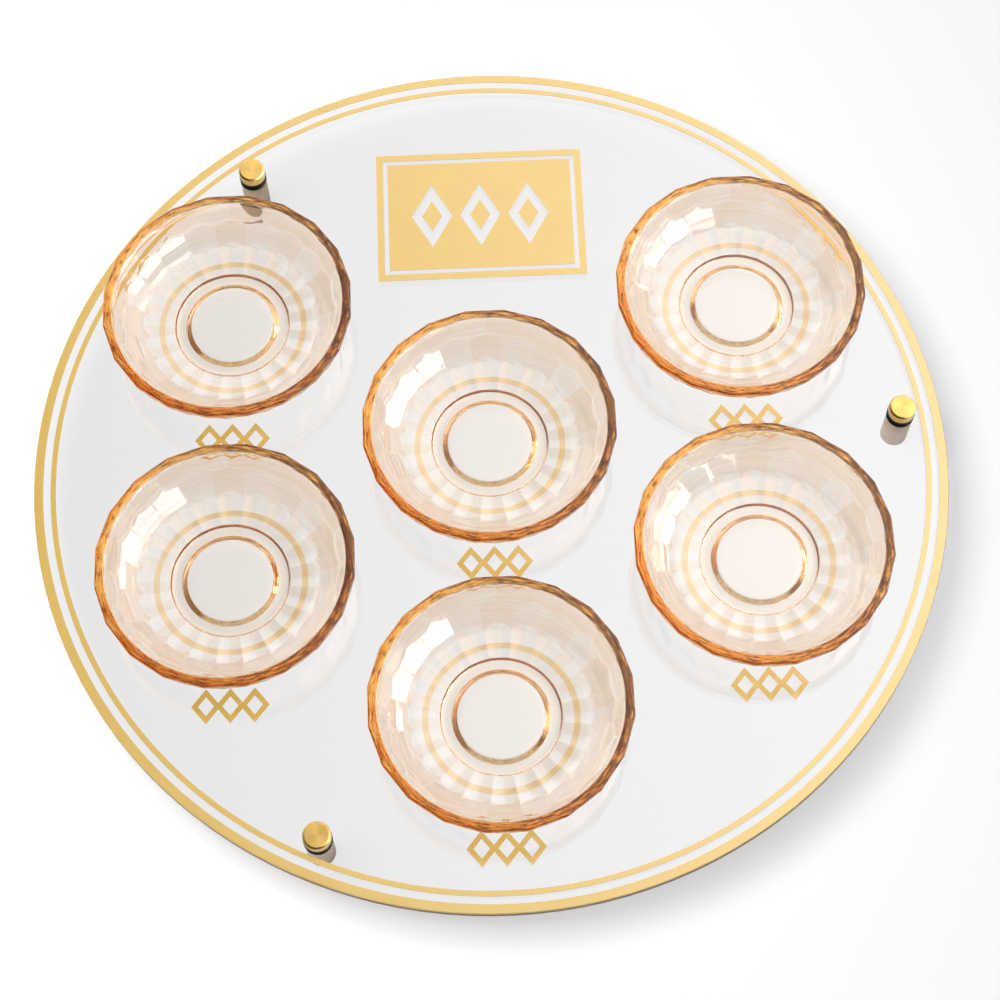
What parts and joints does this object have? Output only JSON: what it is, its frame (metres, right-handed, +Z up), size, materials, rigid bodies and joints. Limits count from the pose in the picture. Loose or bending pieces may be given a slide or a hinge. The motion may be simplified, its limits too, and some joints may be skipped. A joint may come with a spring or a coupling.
{
  "type": "seder plate",
  "caption": "Round clear acrylic plate on screwed brass standoffs, with a gold printed rim, emblem, rings and labels, carrying loose faceted amber glass bowls that lift off.",
  "frame": {"origin": "on the table, under the middle of the plate", "axes": "+Z up along the plate's axis; -Y towards the front, where the labels are read from; +X right"},
  "size_m": [0.4059, 0.406, 0.0496],
  "materials": {
    "clear_acrylic": "polished clear",
    "gold_foil": "satin metallic print",
    "brushed_brass": "brushed",
    "black_rubber": "matte",
    "amber_glass": "pressed, fire polished"
  },
  "bodies": {
    "plate": {"plate": "clear_acrylic", "outer_band": "gold_foil", "inner_ring": "gold_foil", "emblem_frame": "gold_foil", "emblem_panel": "gold_foil", "emblem_lozenges": "gold_foil", "label_back_left": "gold_foil", "label_back_right": "gold_foil", "label_centre": "gold_foil", "label_front_left": "gold_foil", "label_front_right": "gold_foil", "label_front": "gold_foil", "place_ring_back_left": "gold_foil", "place_ring_back_right": "gold_foil", "place_ring_centre": "gold_foil", "place_ring_front_left": "gold_foil", "place_ring_front_right": "gold_foil", "place_ring_front": "gold_foil", "barrel_1": "brushed_brass", "lower_washer_1": "black_rubber", "barrel_2": "brushed_brass", "lower_washer_2": "black_rubber", "barrel_3": "brushed_brass", "lower_washer_3": "black_rubber"},
    "upper_washer_1": {"upper_washer_1": "black_rubber"},
    "cap_1": {"cap_1": "brushed_brass"},
    "upper_washer_2": {"upper_washer_2": "black_rubber"},
    "cap_2": {"cap_2": "brushed_brass"},
    "upper_washer_3": {"upper_washer_3": "black_rubber"},
    "cap_3": {"cap_3": "brushed_brass"},
    "bowl_back_left": {"bowl_back_left": "amber_glass"},
    "bowl_back_right": {"bowl_back_right": "amber_glass"},
    "bowl_centre": {"bowl_centre": "amber_glass"},
    "bowl_front_left": {"bowl_front_left": "amber_glass"},
    "bowl_front_right": {"bowl_front_right": "amber_glass"},
    "bowl_front": {"bowl_front": "amber_glass"}
  },
  "joints": [
    {"name": "cap_1_rise", "type": "slide", "parent": "plate", "child": "upper_washer_1", "axis": [0, 0, 1], "range_m": [0, 0.008]},
    {"name": "cap_1_turn", "type": "hinge", "parent": "upper_washer_1", "child": "cap_1", "pos_m": [0.18479, 0.01617, 0.0248], "axis": [0, 0, 1], "range_deg": [0, 2880]},
    {"name": "cap_2_rise", "type": "slide", "parent": "plate", "child": "upper_washer_2", "axis": [0, 0, 1], "range_m": [0, 0.008]},
    {"name": "cap_2_turn", "type": "hinge", "parent": "upper_washer_2", "child": "cap_2", "pos_m": [-0.1064, 0.15195, 0.0248], "axis": [0, 0, 1], "range_deg": [0, 2880]},
    {"name": "cap_3_rise", "type": "slide", "parent": "plate", "child": "upper_washer_3", "axis": [0, 0, 1], "range_m": [0, 0.008]},
    {"name": "cap_3_turn", "type": "hinge", "parent": "upper_washer_3", "child": "cap_3", "pos_m": [-0.0784, -0.16812, 0.0248], "axis": [0, 0, 1], "range_deg": [0, 2880]},
    {"name": "bowl_back_left_lift", "type": "slide", "parent": "plate", "child": "bowl_back_left", "axis": [0, 0, 1], "range_m": [0, 0.06]},
    {"name": "bowl_back_right_lift", "type": "slide", "parent": "plate", "child": "bowl_back_right", "axis": [0, 0, 1], "range_m": [0, 0.06]},
    {"name": "bowl_centre_lift", "type": "slide", "parent": "plate", "child": "bowl_centre", "axis": [0, 0, 1], "range_m": [0, 0.06]},
    {"name": "bowl_front_left_lift", "type": "slide", "parent": "plate", "child": "bowl_front_left", "axis": [0, 0, 1], "range_m": [0, 0.06]},
    {"name": "bowl_front_right_lift", "type": "slide", "parent": "plate", "child": "bowl_front_right", "axis": [0, 0, 1], "range_m": [0, 0.06]},
    {"name": "bowl_front_lift", "type": "slide", "parent": "plate", "child": "bowl_front", "axis": [0, 0, 1], "range_m": [0, 0.06]}
  ],
  "couplings": [
    {"joint": "cap_1_rise", "follows": "cap_1_turn", "m_per_rad": 0.00015915},
    {"joint": "cap_2_rise", "follows": "cap_2_turn", "m_per_rad": 0.00015915},
    {"joint": "cap_3_rise", "follows": "cap_3_turn", "m_per_rad": 0.00015915}
  ]
}
